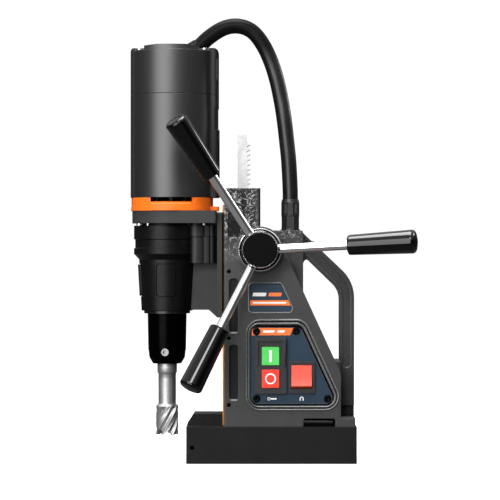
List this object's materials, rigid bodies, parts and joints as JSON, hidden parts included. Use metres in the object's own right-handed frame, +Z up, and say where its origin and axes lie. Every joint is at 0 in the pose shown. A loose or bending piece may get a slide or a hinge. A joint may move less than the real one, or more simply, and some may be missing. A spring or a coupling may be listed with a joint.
{
  "type": "magnetic drill press",
  "caption": "Portable drilling machine on an electromagnet base: a dovetail slide carries a geared motor with an annular cutter, fed by a rack and a three-arm capstan.",
  "frame": {"origin": "centre of the magnet's underside, on the surface that the machine clamps to", "axes": "+Z up, away from the clamping surface; -X towards the arbor and cutter, +X towards the carry handle; -Y towards the controls and the capstan"},
  "size_m": [0.2704, 0.1557, 0.4272],
  "materials": {
    "cast_grey": "satin grey paint over a coarse casting",
    "magnet_black": "satin near-black paint",
    "black_coat": "satin black",
    "motor_black": "fine-textured black",
    "black_plastic": "moulded black",
    "gloss_black": "polished black",
    "orange_plastic": "moulded orange",
    "chrome": "polished",
    "steel": "machined",
    "black_oxide": "blackened",
    "bronze": "machined bronze",
    "blue_label": "printed blue film",
    "green_button": "moulded green",
    "red_button": "moulded red",
    "red_lens": "translucent red",
    "rubber": "smooth black",
    "copper": "enamelled winding",
    "resin": "poured resin",
    "board_green": "solder mask",
    "carbon": "pressed carbon"
  },
  "bodies": {
    "frame": {"magnet_housing": "magnet_black", "magnet_coil": "copper", "magnet_potting": "resin", "base_bolts": "black_oxide", "body_casting": "cast_grey", "side_cover": "cast_grey", "cover_screws": "steel", "gib_strip": "bronze", "gib_screws": "black_oxide", "control_panel": "blue_label", "panel_screws": "black_plastic", "badge_plate": "blue_label", "switch_housing": "black_plastic", "rocker_bezel": "black_plastic", "control_board": "board_green", "pinion_bushings": "bronze", "shaft_end_cap": "black_plastic", "gland_body": "black_plastic", "gland_nut": "black_plastic", "mains_gland": "black_plastic", "carry_handle": "cast_grey", "handle_screws": "black_oxide", "conduit_hose": "rubber"},
    "carriage": {"slide": "steel", "rack": "steel", "slide_screws": "black_oxide", "motor_bracket": "cast_grey", "gearbox_housing": "black_coat", "gearbox_screws": "steel", "gearbox_nose": "black_coat", "nose_ring": "rubber", "vent_ring": "orange_plastic", "motor_housing": "motor_black", "motor_cap": "motor_black", "motor_screws": "steel", "motor_gland": "rubber", "field_stator": "steel", "field_coils": "copper", "brush_holders": "bronze", "carbon_brushes": "carbon", "ball_bearings": "steel"},
    "armature": {"armature_shaft": "steel", "armature_core": "copper", "commutator": "copper", "cooling_fan": "black_plastic"},
    "idler": {"idler_shaft": "steel", "idler_gear": "steel"},
    "spindle": {"spindle_gear": "steel", "arbor": "black_oxide", "arbor_set_screws": "steel", "cutter": "steel"},
    "capstan": {"pinion_shaft": "steel", "hub": "chrome", "hub_cap": "gloss_black", "spokes": "chrome", "grips": "gloss_black"},
    "start_button": {"start_button": "green_button"},
    "stop_button": {"stop_button": "red_button"},
    "magnet_rocker": {"magnet_rocker": "red_lens"}
  },
  "joints": [
    {"name": "feed", "type": "slide", "parent": "frame", "child": "carriage", "axis": [0, 0, 1], "range_m": [-0.085, 0.055], "deforming": ["conduit_hose"]},
    {"name": "capstan_turn", "type": "hinge", "parent": "frame", "child": "capstan", "pos_m": [-0.011, 0, 0.203], "axis": [0, 1, 0], "range_deg": [-464, 301]},
    {"name": "spindle_spin", "type": "hinge", "parent": "carriage", "child": "spindle", "pos_m": [-0.10035, 0, 0.15], "axis": [0, 0, 1], "continuous": true},
    {"name": "idler_spin", "type": "hinge", "parent": "carriage", "child": "idler", "pos_m": [-0.07835, 0, 0.21], "axis": [0, 0, 1], "continuous": true},
    {"name": "armature_spin", "type": "hinge", "parent": "carriage", "child": "armature", "pos_m": [-0.09535, 0, 0.3], "axis": [0, 0, 1], "continuous": true},
    {"name": "start_press", "type": "slide", "parent": "frame", "child": "start_button", "axis": [0, 1, 0], "range_m": [0, 0.0028], "stiffness_N_per_m": 400},
    {"name": "stop_press", "type": "slide", "parent": "frame", "child": "stop_button", "axis": [0, 1, 0], "range_m": [0, 0.0028], "stiffness_N_per_m": 400},
    {"name": "magnet_tilt", "type": "hinge", "parent": "frame", "child": "magnet_rocker", "pos_m": [0.02845, -0.0376, 0.08265], "axis": [1, 0, 0], "range_deg": [0, 16]}
  ],
  "couplings": [
    {"joint": "capstan_turn", "follows": "feed", "rad_per_m": 95.238},
    {"joint": "idler_spin", "follows": "spindle_spin", "ratio": -3.8889},
    {"joint": "armature_spin", "follows": "spindle_spin", "ratio": 10.802}
  ]
}
